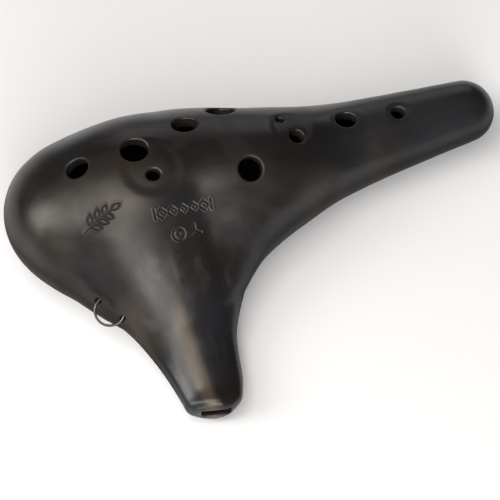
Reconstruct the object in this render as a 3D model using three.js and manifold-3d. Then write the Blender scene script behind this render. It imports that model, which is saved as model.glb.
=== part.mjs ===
// Twelve-hole alto ocarina in smoke-blackened, hand-burnished clay, lying on its belly.
// Millimetres. +Z is up, +X runs towards the tail and -Y towards the mouthpiece.
// The origin is the middle of the small flat on the belly that the ocarina rests on.
import * as THREE from 'three';
import { mergeVertices } from 'three/addons/utils/BufferGeometryUtils.js';
import Module from 'manifold-3d';

const wasm = await Module();
wasm.setup();

// ---------------------------------------------------------------- driving dimensions

// Sections of the chamber from lobe to tail. x and y place the middle of a section,
// under is the height of its underside, and wide and high are its half sizes.
const BODY_SECTIONS = [
	{ x: - 52.3, y: 6.5, under: 3.3, wide: 24.3, high: 21.1 },
	{ x: - 33, y: 3, under: 2.1, wide: 26.6, high: 23.6 },
	{ x: - 10, y: 6.7, under: 2.4, wide: 25.6, high: 23.2 },
	{ x: 16, y: 3.3, under: 2.1, wide: 24.5, high: 23.1 },
	{ x: 45, y: 6.5, under: 4.1, wide: 18.3, high: 17.6 },
	{ x: 71, y: 8.4, under: 6.5, wide: 14.8, high: 14.5 },
	{ x: 100.3, y: 10, under: 9.1, wide: 11.8, high: 11.8 }
];

// The same for the spout, from the player's lips into the chamber.
const SPOUT_SECTIONS = [
	{ x: - 22, y: - 80.5, under: 3, wide: 10, high: 6.6 },
	{ x: - 20.7, y: - 69.4, under: 3.9, wide: 12, high: 6 },
	{ x: - 22.3, y: - 49.2, under: 4.9, wide: 16.4, high: 7.4 },
	{ x: - 22.9, y: - 29.8, under: 6.1, wide: 23.8, high: 10 },
	{ x: - 25.4, y: - 10.5, under: 7.3, wide: 31.6, high: 14 },
	{ x: - 31.9, y: 11, under: 8.5, wide: 16.1, high: 17.5 }
];
const STEPS_PER_SECTION = 5;
const BLEND = 28.5; // reach of the soft fillet between body and spout
const WALL = 4.5;
const GAP = 0.3; // luting clearance between neighbouring pieces

// Shells and mouthpiece halves meet on one slanted parting plane through their widest line.
const PARTING_Z = 23.5; // its height at y = 0
const PARTING_TILT = Math.atan( 0.186 );
const NECK_Y = - 46; // where the mouthpiece is luted to the body
const TIP_Y = - 78.6; // end face that goes between the lips
const TIP_SKEW = THREE.MathUtils.degToRad( - 10 ); // the end face is cut a little askew

// Finger holes in the top, as drilled: place seen from above, and diameter.
const FINGER_HOLES = [
	{ x: - 47.4, y: 10.4, across: 9.2 }, // left little finger
	{ x: - 25.7, y: 10.8, across: 10.6 }, // left ring finger
	{ x: - 21.7, y: - 0.6, across: 5.8 }, // its sub-hole
	{ x: - 5.2, y: 17.9, across: 10.4 }, // left middle finger
	{ x: 10.1, y: 23, across: 10.8 }, // left index finger
	{ x: 12.5, y: - 5.7, across: 10 }, // right index finger
	{ x: 33.7, y: 4.9, across: 6.8 }, // right middle finger
	{ x: 29.5, y: 13.8, across: 4.5 }, // its sub-hole
	{ x: 54.1, y: 10.5, across: 8.8 }, // right ring finger
	{ x: 74.5, y: 9.4, across: 6.6 } // right little finger
];
const THUMB_HOLES = [
	{ x: - 58, y: - 4, across: 10.5 },
	{ x: 40, y: 4, across: 10.5 }
];

// The windway is a flat flue, taller at the lips than where it meets the window.
const WINDWAY_X = - 21.4;
const WINDWAY_LIPS = { halfWidth: 5.8, floor: 7, roof: 10.6 };
const WINDWAY_EXIT = { halfWidth: 5, floor: 8.2, roof: 9.6 };
const ROOF_BLOCK_HALF_WIDTH = 8;
const ROOF_BLOCK_START_Y = - 66;
const POCKET_OVERLAP = 0.2;
const WINDOW_LENGTH = 5.5; // from the windway's exit to the edge that splits the air
const LABIUM_LENGTH = 12;
const LABIUM_EDGE_Z = 9;

// Strap ring: a closed steel ring through a shallow curved tunnel in the upper shell.
const RING_CENTRE = new THREE.Vector3( - 49, - 36.4, 24.4 );
const RING_AXIS = new THREE.Vector3( - 0.107, - 0.477, 0.872 ).normalize();
const RING_RADIUS = 5.4; // to the middle of the wire
const RING_WIRE_RADIUS = 0.5;
const TUNNEL_RADIUS = 1.05;

const CELL = 5; // size of the facets that stand for the curved skin
const SPOUT_CELL = 2.7;
const FAR = 400; // larger than the ocarina in any direction

// ------------------------------------------------------------------- shape of the skin

// Smooth curve through the sections, cut into short straight steps.
function smoothSections( sections ) {

	const first = 0;
	const last = sections.length - 1;
	const steps = [];
	const keys = Object.keys( sections[ 0 ] );
	const at = ( index, key ) => {

		if ( index < first ) return 2 * sections[ first ][ key ] - sections[ first + 1 ][ key ];
		if ( index > last ) return 2 * sections[ last ][ key ] - sections[ last - 1 ][ key ];
		return sections[ index ][ key ];

	};

	for ( let span = 0; span < last; span ++ ) {

		for ( let step = 0; step < STEPS_PER_SECTION; step ++ ) {

			const t = step / STEPS_PER_SECTION;
			const section = {};
			for ( const key of keys ) {

				const [ a, b, c, d ] = [ - 1, 0, 1, 2 ].map( ( offset ) => at( span + offset, key ) );
				const bend = ( 2 * a - 5 * b + 4 * c - d ) * t * t + ( 3 * b - a - 3 * c + d ) * t ** 3;
				section[ key ] = 0.5 * ( 2 * b + ( c - a ) * t + bend );

			}

			steps.push( section );

		}

	}

	steps.push( { ...sections[ last ] } );
	for ( const section of steps ) section.z = section.under + section.high;
	return steps;

}

const BODY = smoothSections( BODY_SECTIONS );
const SPOUT = smoothSections( SPOUT_SECTIONS );

// Distance, roughly, from a point to a run of elliptic sections: negative inside.
function distanceToRun( point, steps ) {

	let nearest = Infinity;
	for ( let index = 1; index < steps.length; index ++ ) {

		const start = steps[ index - 1 ];
		const end = steps[ index ];
		const alongX = end.x - start.x;
		const alongY = end.y - start.y;
		const reach = ( point.x - start.x ) * alongX + ( point.y - start.y ) * alongY;
		const t = THREE.MathUtils.clamp( reach / ( alongX ** 2 + alongY ** 2 ), 0, 1 );
		const aside = Math.hypot( point.x - start.x - t * alongX, point.y - start.y - t * alongY );
		const above = point.z - THREE.MathUtils.lerp( start.z, end.z, t );
		const wide = THREE.MathUtils.lerp( start.wide, end.wide, t );
		const high = THREE.MathUtils.lerp( start.high, end.high, t );
		const scaled = Math.hypot( aside / wide, above / high );
		const slope = Math.hypot( aside / wide ** 2, above / high ** 2 ) + 1e-9;
		nearest = Math.min( nearest, scaled * ( scaled - 1 ) / slope );

	}

	return nearest;

}

function smoothUnion( a, b, reach ) {

	const overlap = Math.max( reach - Math.abs( a - b ), 0 ) / reach;
	return Math.min( a, b ) - overlap * overlap * reach / 4;

}

const skinField = ( point ) =>
	smoothUnion( distanceToRun( point, BODY ), distanceToRun( point, SPOUT ), BLEND );

// The air inside ends in a rounded wall a little way into the mouthpiece.
const chamberField = ( point ) =>
	- smoothUnion( - skinField( point ) - WALL, point.y - NECK_Y + 10, 6 );

function gradient( field, point ) {

	const step = 0.05;
	const slope = new THREE.Vector3();
	for ( const axis of [ 'x', 'y', 'z' ] ) {

		const ahead = point.clone();
		const behind = point.clone();
		ahead[ axis ] += step;
		behind[ axis ] -= step;
		slope[ axis ] = ( field( ahead ) - field( behind ) ) / ( 2 * step );

	}

	return slope;

}

// Slides a point along the gradient until it lies on the surface where the field is zero.
function settle( field, point ) {

	for ( let round = 0; round < 6; round ++ ) {

		const slope = gradient( field, point );
		point.addScaledVector( slope, - field( point ) / Math.max( slope.lengthSq(), 0.2 ) );

	}

	return point;

}

// Where the vertical line at x, y meets the skin: from above (side 1) or below (side -1).
function skinPoint( x, y, side ) {

	const point = new THREE.Vector3( x, y, 0 );
	let inside = 20;
	let outside = 20 + side * 60;
	for ( let round = 0; round < 40; round ++ ) {

		point.z = ( inside + outside ) / 2;
		if ( skinField( point ) < 0 ) inside = point.z;
		else outside = point.z;

	}

	return point;

}

// ------------------------------------------------------------ surface of a field as a mesh

// One vertex in each cell that the surface crosses, and one quad around each crossed edge.
function surfaceOf( field, low, high, cell ) {

	const size = new THREE.Vector3().subVectors( high, low ).divideScalar( cell ).ceil();
	const counts = [ size.x + 1, size.y + 1, size.z + 1 ];
	const cornerAt = ( i, j, k ) => ( i * counts[ 1 ] + j ) * counts[ 2 ] + k;
	const placeOf = ( i, j, k ) => new THREE.Vector3( i, j, k ).multiplyScalar( cell ).add( low );
	const values = new Float64Array( counts[ 0 ] * counts[ 1 ] * counts[ 2 ] );
	const vertexOfCell = new Map();
	const positions = [];
	const triangles = [];

	for ( let i = 0; i < counts[ 0 ]; i ++ ) {

		for ( let j = 0; j < counts[ 1 ]; j ++ ) {

			for ( let k = 0; k < counts[ 2 ]; k ++ ) values[ cornerAt( i, j, k ) ] = field( placeOf( i, j, k ) );

		}

	}

	function cellVertex( i, j, k ) {

		const key = cornerAt( i, j, k );
		if ( vertexOfCell.has( key ) ) return vertexOfCell.get( key );
		const middle = new THREE.Vector3();
		let crossings = 0;
		for ( let axis = 0; axis < 3; axis ++ ) {

			for ( let side = 0; side < 4; side ++ ) {

				const start = [ 0, 0, 0 ];
				start[ ( axis + 1 ) % 3 ] = side & 1;
				start[ ( axis + 2 ) % 3 ] = side >> 1;
				const end = [ ...start ];
				end[ axis ] = 1;
				const a = values[ cornerAt( i + start[ 0 ], j + start[ 1 ], k + start[ 2 ] ) ];
				const b = values[ cornerAt( i + end[ 0 ], j + end[ 1 ], k + end[ 2 ] ) ];
				if ( ( a < 0 ) === ( b < 0 ) ) continue;
				const from = placeOf( i + start[ 0 ], j + start[ 1 ], k + start[ 2 ] );
				const to = placeOf( i + end[ 0 ], j + end[ 1 ], k + end[ 2 ] );
				middle.add( from.lerp( to, a / ( a - b ) ) );
				crossings ++;

			}

		}

		middle.divideScalar( crossings );
		settle( field, middle );
		vertexOfCell.set( key, positions.length / 3 );
		positions.push( middle.x, middle.y, middle.z );
		return vertexOfCell.get( key );

	}

	function addQuad( corners ) {

		const place = corners.map( ( index ) => new THREE.Vector3().fromArray( positions, 3 * index ) );
		const [ a, b, c, d ] = corners;
		if ( place[ 0 ].distanceTo( place[ 2 ] ) <= place[ 1 ].distanceTo( place[ 3 ] ) ) {

			triangles.push( a, b, c, a, c, d );

		} else {

			triangles.push( a, b, d, b, c, d );

		}

	}

	for ( let axis = 0; axis < 3; axis ++ ) {

		const u = ( axis + 1 ) % 3;
		const v = ( axis + 2 ) % 3;
		const edge = [ 0, 0, 0 ];
		for ( edge[ axis ] = 0; edge[ axis ] < counts[ axis ] - 1; edge[ axis ] ++ ) {

			for ( edge[ u ] = 1; edge[ u ] < counts[ u ] - 1; edge[ u ] ++ ) {

				for ( edge[ v ] = 1; edge[ v ] < counts[ v ] - 1; edge[ v ] ++ ) {

					const end = [ ...edge ];
					end[ axis ] += 1;
					const startInside = values[ cornerAt( ...edge ) ] < 0;
					const endInside = values[ cornerAt( ...end ) ] < 0;
					if ( startInside === endInside ) continue;
					const around = [ [ - 1, - 1 ], [ 0, - 1 ], [ 0, 0 ], [ - 1, 0 ] ].map( ( [ du, dv ] ) => {

						const cellIndex = [ ...edge ];
						cellIndex[ u ] += du;
						cellIndex[ v ] += dv;
						return cellVertex( ...cellIndex );

					} );
					if ( endInside ) around.reverse();
					addQuad( around );

				}

			}

		}

	}

	const geometry = new THREE.BufferGeometry();
	geometry.setAttribute( 'position', new THREE.Float32BufferAttribute( positions, 3 ) );
	geometry.setIndex( triangles );
	return geometry;

}

// ---------------------------------------------------------------------- solids and cuts

function solidOf( geometry ) {

	const bare = geometry.clone();
	bare.deleteAttribute( 'normal' );
	bare.deleteAttribute( 'uv' );
	const merged = mergeVertices( bare, 1e-4 );
	return new wasm.Manifold( new wasm.Mesh( {
		numProp: 3,
		vertProperties: new Float32Array( merged.attributes.position.array ),
		triVerts: new Uint32Array( merged.index.array )
	} ) );

}

function geometryOf( solid ) {

	const mesh = solid.getMesh();
	const geometry = new THREE.BufferGeometry();
	geometry.setAttribute( 'position', new THREE.Float32BufferAttribute( mesh.vertProperties, 3 ) );
	geometry.setIndex( Array.from( mesh.triVerts ) );
	geometry.computeVertexNormals();
	return geometry;

}

function boxBetween( low, high ) {

	const geometry = new THREE.BoxGeometry( high[ 0 ] - low[ 0 ], high[ 1 ] - low[ 1 ], high[ 2 ] - low[ 2 ] );
	geometry.translate( ( low[ 0 ] + high[ 0 ] ) / 2, ( low[ 1 ] + high[ 1 ] ) / 2, ( low[ 2 ] + high[ 2 ] ) / 2 );
	return solidOf( geometry );

}

// A box whose width, floor and roof change evenly from y = startY to y = endY.
function flue( startY, start, endY, end ) {

	const geometry = new THREE.BoxGeometry( 2, endY - startY, 1 );
	const corners = geometry.attributes.position;
	for ( let index = 0; index < corners.count; index ++ ) {

		const t = corners.getY( index ) > 0 ? 1 : 0;
		const halfWidth = THREE.MathUtils.lerp( start.halfWidth, end.halfWidth, t );
		const floor = THREE.MathUtils.lerp( start.floor, end.floor, t );
		const roof = THREE.MathUtils.lerp( start.roof, end.roof, t );
		corners.setX( index, WINDWAY_X + Math.sign( corners.getX( index ) ) * halfWidth );
		corners.setY( index, THREE.MathUtils.lerp( startY, endY, t ) );
		corners.setZ( index, corners.getZ( index ) > 0 ? roof : floor );

	}

	return solidOf( geometry );

}

// Everything above (side 1) or below (side -1) the parting plane, less half the gap.
function halfSpace( side ) {

	const geometry = new THREE.BoxGeometry( FAR, FAR, FAR );
	geometry.translate( 0, 0, side * ( FAR + GAP ) / 2 );
	geometry.rotateX( PARTING_TILT );
	geometry.translate( 0, 0, PARTING_Z );
	return solidOf( geometry );

}

// Everything past the end face of the mouthpiece.
function beyondTip() {

	const geometry = new THREE.BoxGeometry( FAR, FAR, FAR );
	geometry.translate( 0, - FAR / 2, 0 );
	geometry.rotateZ( TIP_SKEW );
	geometry.translate( WINDWAY_X, TIP_Y, 0 );
	return solidOf( geometry );

}

// A round cutter square to the skin, long enough to pass through the wall only.
function drill( hole, side ) {

	const length = 2 * WALL + 8;
	const point = skinPoint( hole.x, hole.y, side );
	const outward = gradient( skinField, point ).normalize();
	const geometry = new THREE.CylinderGeometry( hole.across / 2, hole.across / 2, length, 20 );
	const turn = new THREE.Quaternion().setFromUnitVectors( new THREE.Vector3( 0, 1, 0 ), outward );
	geometry.applyQuaternion( turn );
	geometry.translate( point.x, point.y, point.z );
	return solidOf( geometry );

}

function ringTorus( wireRadius, wireSides, ringSides ) {

	const geometry = new THREE.TorusGeometry( RING_RADIUS, wireRadius, wireSides, ringSides );
	const turn = new THREE.Quaternion().setFromUnitVectors( new THREE.Vector3( 0, 0, 1 ), RING_AXIS );
	geometry.applyQuaternion( turn );
	return geometry;

}

// --------------------------------------------------------------------- pieces of clay

const low = new THREE.Vector3( - 90, - 92, - 12 );
const high = new THREE.Vector3( 124, 48, 64 );
const underTable = boxBetween( [ - FAR, - FAR, - FAR ], [ FAR, FAR, 0 ] );
const skin = solidOf( surfaceOf( skinField, low, high, CELL ) ).subtract( underTable );
const chamber = solidOf( surfaceOf( chamberField, low, high, CELL ) );

// The mouthpiece is thin and tightly curved, so it has finer facets of its own.
const spoutHigh = new THREE.Vector3( 30, NECK_Y + 12, 64 );
const spoutField = ( point ) => Math.max( skinField( point ), point.y - NECK_Y - 6 );
const spoutSkin = solidOf( surfaceOf( spoutField, low, spoutHigh, SPOUT_CELL ) )
	.subtract( underTable )
	.subtract( beyondTip() );
const above = halfSpace( 1 );
const below = halfSpace( - 1 );
const bodySide = boxBetween( [ - FAR, NECK_Y + GAP / 2, - FAR ], [ FAR, FAR, FAR ] );
const spoutSide = boxBetween( [ - FAR, - FAR, - FAR ], [ FAR, NECK_Y - GAP / 2, FAR ] );

// Opening under the neck: the sound window, and the seat of the labium behind it.
const windowEndY = NECK_Y + WINDOW_LENGTH;
const seatEndY = windowEndY + LABIUM_LENGTH + GAP;
const windowCut = boxBetween(
	[ WINDWAY_X - WINDWAY_EXIT.halfWidth, NECK_Y - GAP, - 5 ],
	[ WINDWAY_X + WINDWAY_EXIT.halfWidth, seatEndY, 16 ]
);
const windway = flue( TIP_Y - 4, WINDWAY_LIPS, NECK_Y + 1, WINDWAY_EXIT );

function upperShell() {

	let shell = skin.subtract( chamber ).intersect( bodySide ).intersect( above );
	for ( const hole of FINGER_HOLES ) shell = shell.subtract( drill( hole, 1 ) );
	const tunnel = ringTorus( TUNNEL_RADIUS, 8, 28 );
	tunnel.translate( RING_CENTRE.x, RING_CENTRE.y, RING_CENTRE.z );
	return shell.subtract( solidOf( tunnel ) );

}

function lowerShell() {

	let shell = skin.subtract( chamber ).intersect( bodySide ).intersect( below );
	for ( const hole of THUMB_HOLES ) shell = shell.subtract( drill( hole, - 1 ) );
	return shell.subtract( windowCut );

}

// The block that roofs the windway lies in a pocket under the parting plane. The pocket's
// floor is a little below the windway's roof, so that the channel opens into it.
function roofBlockSpace( margin ) {

	const floorAt = ( y ) => windwayRoofAt( y ) - POCKET_OVERLAP + margin;
	const halfWidth = ROOF_BLOCK_HALF_WIDTH - margin;
	const lips = { halfWidth, floor: floorAt( ROOF_BLOCK_START_Y ), roof: FAR };
	const exit = { halfWidth, floor: floorAt( NECK_Y ), roof: FAR };
	return flue( ROOF_BLOCK_START_Y + margin, lips, NECK_Y + 1, exit ).intersect( spoutSide );

}

function windwayRoofAt( y ) {

	return THREE.MathUtils.mapLinear( y, TIP_Y, NECK_Y, WINDWAY_LIPS.roof, WINDWAY_EXIT.roof );

}

const mouthpieceTop = () => spoutSkin.intersect( spoutSide ).intersect( above ).subtract( windway );

function mouthpieceBase() {

	const half = spoutSkin.intersect( spoutSide ).intersect( below );
	return half.subtract( roofBlockSpace( 0 ) ).subtract( windway );

}

const windwayRoof = () => roofBlockSpace( GAP ).intersect( below );

// The blade that splits the air: a sharp edge with its ramp on the outside.
function labiumBlade() {

	const backY = windowEndY + LABIUM_LENGTH;
	const rampEndY = backY - 3;
	const underBack = skinPoint( WINDWAY_X, backY, - 1 ).z;
	const underRamp = skinPoint( WINDWAY_X, rampEndY, - 1 ).z;
	const outline = new THREE.Shape();
	outline.moveTo( windowEndY, LABIUM_EDGE_Z );
	outline.lineTo( rampEndY, underRamp );
	outline.lineTo( backY, underBack );
	outline.lineTo( backY, LABIUM_EDGE_Z + 1.6 );
	outline.lineTo( windowEndY, LABIUM_EDGE_Z + 0.3 );
	const width = 2 * ( WINDWAY_EXIT.halfWidth - GAP );
	const geometry = new THREE.ExtrudeGeometry( outline, { depth: width, bevelEnabled: false } );
	geometry.rotateX( Math.PI / 2 );
	geometry.rotateZ( Math.PI / 2 );
	geometry.translate( WINDWAY_X - width / 2, 0, 0 );
	return solidOf( geometry );

}

// ------------------------------------------------------------------ materials and model

const blackClay = () => new THREE.MeshStandardMaterial( { color: 0x262423, roughness: 0.42, metalness: 0 } );
const steel = () => new THREE.MeshStandardMaterial( { color: 0x5a5a5c, roughness: 0.35, metalness: 1 } );

const group = new THREE.Group();

function addPiece( name, geometry, material ) {

	const mesh = new THREE.Mesh( geometry, material );
	mesh.name = name;
	group.add( mesh );
	return mesh;

}

addPiece( 'upper_shell', geometryOf( upperShell() ), blackClay() );
addPiece( 'lower_shell', geometryOf( lowerShell() ), blackClay() );
addPiece( 'mouthpiece_top', geometryOf( mouthpieceTop() ), blackClay() );
addPiece( 'mouthpiece_base', geometryOf( mouthpieceBase() ), blackClay() );
addPiece( 'windway_roof', geometryOf( windwayRoof() ), blackClay() );
addPiece( 'labium_blade', geometryOf( labiumBlade() ), blackClay() );
addPiece( 'strap_ring', ringTorus( RING_WIRE_RADIUS, 8, 36 ), steel() ).position.copy( RING_CENTRE );

export default group;
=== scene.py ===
# Visual model of a twelve-hole alto ocarina in smoke-blackened, hand-burnished clay.
# The shape is a distance field in millimetres, in the frame of the CAD model: +X runs to the
# tail, -Y to the mouthpiece and +Z up. It is turned into fine meshes, one for each piece.
import math

import bmesh
import bpy
import numpy as np
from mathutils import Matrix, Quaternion, Vector


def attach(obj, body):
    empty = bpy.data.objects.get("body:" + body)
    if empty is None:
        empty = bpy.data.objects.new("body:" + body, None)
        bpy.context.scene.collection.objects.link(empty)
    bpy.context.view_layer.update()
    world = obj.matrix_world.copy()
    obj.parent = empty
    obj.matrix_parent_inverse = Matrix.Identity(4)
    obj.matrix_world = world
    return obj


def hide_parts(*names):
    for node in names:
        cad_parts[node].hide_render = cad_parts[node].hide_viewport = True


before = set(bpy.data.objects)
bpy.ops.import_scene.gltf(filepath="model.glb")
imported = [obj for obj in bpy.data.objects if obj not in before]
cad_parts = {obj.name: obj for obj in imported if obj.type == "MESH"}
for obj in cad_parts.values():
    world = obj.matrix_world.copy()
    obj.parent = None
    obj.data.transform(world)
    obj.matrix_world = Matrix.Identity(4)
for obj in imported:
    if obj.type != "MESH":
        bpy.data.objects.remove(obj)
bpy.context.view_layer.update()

MM = 0.001

# ------------------------------------------------------------------ driving dimensions, mm

# Sections of the chamber from lobe to tail: x, y, height of the underside, half width, half height.
BODY_SECTIONS = [
    (-52.3, 6.5, 3.3, 24.3, 21.1),
    (-33.0, 3.0, 2.1, 26.6, 23.6),
    (-10.0, 6.7, 2.4, 25.6, 23.2),
    (16.0, 3.3, 2.1, 24.5, 23.1),
    (45.0, 6.5, 4.1, 18.3, 17.6),
    (71.0, 8.4, 6.5, 14.8, 14.5),
    (100.3, 10.0, 9.1, 11.8, 11.8),
]
# The same for the spout, from the lips into the chamber.
SPOUT_SECTIONS = [
    (-22.0, -80.5, 3.0, 10.0, 6.6),
    (-20.7, -69.4, 3.9, 12.0, 6.0),
    (-22.3, -49.2, 4.9, 16.4, 7.4),
    (-22.9, -29.8, 6.1, 23.8, 10.0),
    (-25.4, -10.5, 7.3, 31.6, 14.0),
    (-31.9, 11.0, 8.5, 16.1, 17.5),
]
BODY_STEPS = 14  # short straight steps between two sections
SPOUT_STEPS = 7
BODY_REACH = 14.0  # how far past its own ends along X a step of the body still counts
BLEND = 42.7  # reach of the blend between the body and the spout
CORE_Z = 20.0  # a height inside the body, where the search for its skin starts
SEARCH_REACH = 60.0
WALL = 4.5
GAP = 0.3  # between pieces that are luted together
FOOT_ROUNDING = 1.6  # of the edge around the belly flat
WAVE_HEIGHT = 0.045  # of the unevenness left by hand burnishing

PARTING_Z = 23.5
PARTING_SLOPE = 0.186
NECK_Y = -46.0
TIP_Y = -79.4
TIP_SKEW = math.radians(-10)
TIP_ROUNDING = 2.2
TIP_ROUNDING_MORE = (1.6, 2.4)  # added along the top edge, added at the right corner

# The lower corners of the lips are pared off on both sides of a keel, like a boat's bow.
KEEL_X = -0.4
KEEL_HALF_WIDTH = 4.6
KEEL_Z = 3.6
KEEL_FACING = (0.70, -0.40, -0.62)  # of the cut on the right; the left one is its mirror
KEEL_ROUNDING = 3.0

# Finger holes: x, y seen from above, width, and height as a share of the width.
FINGER_HOLES = [
    (-48.2, 9.3, 8.6, 0.88),
    (-26.6, 9.6, 10.1, 0.90),
    (-22.4, -1.6, 5.2, 0.86),
    (-5.9, 17.5, 9.6, 0.86),
    (9.2, 23.4, 10.9, 0.90),
    (12.2, -6.8, 8.6, 1.04),
    (32.9, 3.9, 5.7, 1.00),
    (28.8, 12.7, 3.3, 1.00),
    (53.5, 9.8, 8.0, 0.88),
    (73.6, 8.7, 5.0, 1.00),
]
THUMB_HOLES = [(-58.0, -4.0, 10.0, 1.0), (40.0, 4.0, 10.0, 1.0)]
HOLE_DEPTH = 8.5
HOLE_REACH = 20.0  # how far from its middle a hole can cut
RIM_SOFTNESS = 1.0  # reach of the rounding of a hole's rim

# Shallow seats scooped for a fingertip: x, y, radius of the scoop's edge, depth.
SCOOPS = [
    (-22.5, 1.6, 12.4, 0.70),
    (31.8, 7.8, 9.0, 0.45),
    (73.6, 8.7, 5.0, 0.35),
    (53.5, 9.8, 6.6, 0.25),
]
SCOOP_FLOOR = 0.62  # share of the radius where the scoop has its full depth
SCOOP_REACH = 12.0  # along its axis, so that it leaves the underside alone

# The line of a stamp, and the lip of clay pushed up beside it.
STAMP_DEPTH = 0.27
STAMP_WIDTH = 0.32
STAMP_LIP_HEIGHT = 0.05
STAMP_LIP_PLACE = 0.68
STAMP_LIP_WIDTH = 0.25

WINDWAY_X = -21.4
WINDWAY_LIPS = (5.1, 7.9, 11.8)  # half width, floor, roof
WINDWAY_EXIT = (5.0, 8.2, 9.6)
WINDWAY_ROUNDING = 0.8
WINDOW_START_Y = NECK_Y - 2
WINDOW_TOP_Z = 15.0
WINDOW_LENGTH = 5.5
WINDOW_ROUNDING = 0.5
LABIUM_LENGTH = 12.0
LABIUM_HEEL = 3.0  # from the end of its ramp to its far end
LABIUM_EDGE_Z = 9.0
LABIUM_EDGE_THICKNESS = 0.15
LABIUM_TOP_SLOPE = 0.12
LABIUM_ROUNDING = 0.4
ROOF_BLOCK_HALF_WIDTH = 8.0
ROOF_BLOCK_START_Y = -66.0
ROOF_BLOCK_ROUNDING = 0.5

RING_CENTRE = np.array([-49.0, -36.4, 24.4])
RING_AXIS = np.array([-0.107, -0.477, 0.872]) / np.linalg.norm([-0.107, -0.477, 0.872])
RING_RADIUS = 5.4
WIRE_RADIUS = 0.46
WIRE_STEPS = 180
WIRE_SIDES = 20
WIRE_END_GAP = 0.16
WIRE_END_TAPER = 0.1
WIRE_END_TURN = math.radians(228)
TUNNEL_RADIUS = 0.95
TUNNEL_ROUNDING = 0.8

# Boxes that hold the surfaces, and the cells that they are first meshed with.
BODY_BOX = ((-82, NECK_Y - 3, -3), (118, 42, 58))
SPOUT_BOX = ((-48, -86, -3), (8, NECK_Y + 3, 30))
BLADE_BOX = ((-30, -43, 0), (-13, -26, 14))
BLOCK_BOX = ((-33, -70, 6), (-10, -43, 18))
CELL = 1.0
BLADE_CELL = 0.4
BLOCK_CELL = 0.5

# Longest edges of the refined meshes, where the clay is plain and close to each detail.
PLAIN_EDGE = 1.9
RIM_EDGE = 0.42
STAMP_EDGE = 0.24
TUNNEL_EDGE = 0.36
LIPS_EDGE = 0.45
RIM_REACH = 10.0  # from the middle of a hole, beyond which its rim needs no short edges
SETTLED = 0.002  # distance from the surface at which a vertex stays where it is
JOIN_REACH = 2.2  # over which the joins between two steps are smoothed out of the shading

# --------------------------------------------------------------------------- distance field


def smooth_sections(table, count):
    """Smooth curve through the sections, cut into short straight steps."""
    rows = np.array(table)
    padded = np.vstack([2 * rows[0] - rows[1], rows, 2 * rows[-1] - rows[-2]])
    steps = []
    for a, b, c, d in zip(padded, padded[1:], padded[2:], padded[3:]):
        for t in np.arange(count) / count:
            bend = (2 * a - 5 * b + 4 * c - d) * t**2 + (3 * b - a - 3 * c + d) * t**3
            steps.append(0.5 * (2 * b + (c - a) * t + bend))
    steps.append(rows[-1])
    steps = np.array(steps)
    steps[:, 2] += steps[:, 4]
    return steps


BODY = smooth_sections(BODY_SECTIONS, BODY_STEPS)
SPOUT = smooth_sections(SPOUT_SECTIONS, SPOUT_STEPS)


def step_distance(p, start, end):
    """Rough distance to one step of a run, whose sections are ellipses."""
    along = end - start
    aside_x, aside_y, above = p[:, 0] - start[0], p[:, 1] - start[1], p[:, 2] - start[2]
    t = np.clip((aside_x * along[0] + aside_y * along[1]) / (along[0] ** 2 + along[1] ** 2), 0, 1)
    aside2 = (aside_x - t * along[0]) ** 2 + (aside_y - t * along[1]) ** 2
    above2 = (above - t * along[2]) ** 2
    wide2 = (start[3] + t * along[3]) ** 2
    high2 = (start[4] + t * along[4]) ** 2
    flat, tall = aside2 / wide2, above2 / high2
    scaled = np.sqrt(flat + tall)
    return scaled * (scaled - 1) / (np.sqrt(flat / wide2 + tall / high2) + 1e-9)


def body_distance(p):
    """Distance to the body, from the steps that are near along X."""
    order = np.argsort(p[:, 0])
    sorted_p = p[order]
    nearest = np.full(len(p), 1e9)
    for index, (start, end) in enumerate(zip(BODY, BODY[1:])):
        low = -1e9 if index == 0 else start[0] - BODY_REACH
        high = 1e9 if index == len(BODY) - 2 else end[0] + BODY_REACH
        first, last = np.searchsorted(sorted_p[:, 0], (low, high))
        if last > first:
            part = nearest[first:last]
            np.minimum(part, step_distance(sorted_p[first:last], start, end), out=part)
    result = np.empty(len(p))
    result[order] = nearest
    return result


def spout_distance(p):
    """Distance to the spout, from all of its steps."""
    nearest = np.full(len(p), 1e9)
    for start, end in zip(SPOUT, SPOUT[1:]):
        nearest = np.minimum(nearest, step_distance(p, start, end))
    return nearest


def smooth_min(a, b, reach):
    """Union of two solids, blended where their distances differ by less than the reach."""
    overlap = np.maximum(reach - np.abs(a - b), 0) / reach
    return np.minimum(a, b) - overlap**2 * reach / 4


def gentle_min(a, b, reach):
    """Like smooth_min, but without a crease in the highlights where the blend ends."""
    overlap = np.maximum(reach - np.abs(a - b), 0) / reach
    return np.minimum(a, b) - overlap**3 * reach / 6


def smooth_max(a, b, reach):
    """What two solids share, with its sharp edge rounded in the same way."""
    return -smooth_min(-a, -b, reach)


def round_max(a, b, radius):
    """The sharp corner between two solids turned to a true radius."""
    corner = np.hypot(np.maximum(a + radius, 0), np.maximum(b + radius, 0))
    return np.minimum(np.maximum(a, b), -radius) + corner


def smooth_step(low, high, value):
    t = np.clip((value - low) / (high - low), 0, 1)
    return t * t * (3 - 2 * t)


def plain_skin(p):
    """Body and spout blended, without any detail."""
    return gentle_min(body_distance(p), spout_distance(p), BLEND)


def gradient(field, p, value=None, step=0.03):
    """Slope of a field, one-sided and quicker where its value is already known."""
    slopes = np.empty_like(p)
    for axis in range(3):
        shift = np.zeros(3)
        shift[axis] = step
        if value is None:
            slopes[:, axis] = (field(p + shift) - field(p - shift)) / (2 * step)
        else:
            slopes[:, axis] = (field(p + shift) - value) / step
    return slopes


def unit(v):
    return v / np.maximum(np.linalg.norm(v, axis=-1, keepdims=True), 1e-12)


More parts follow.
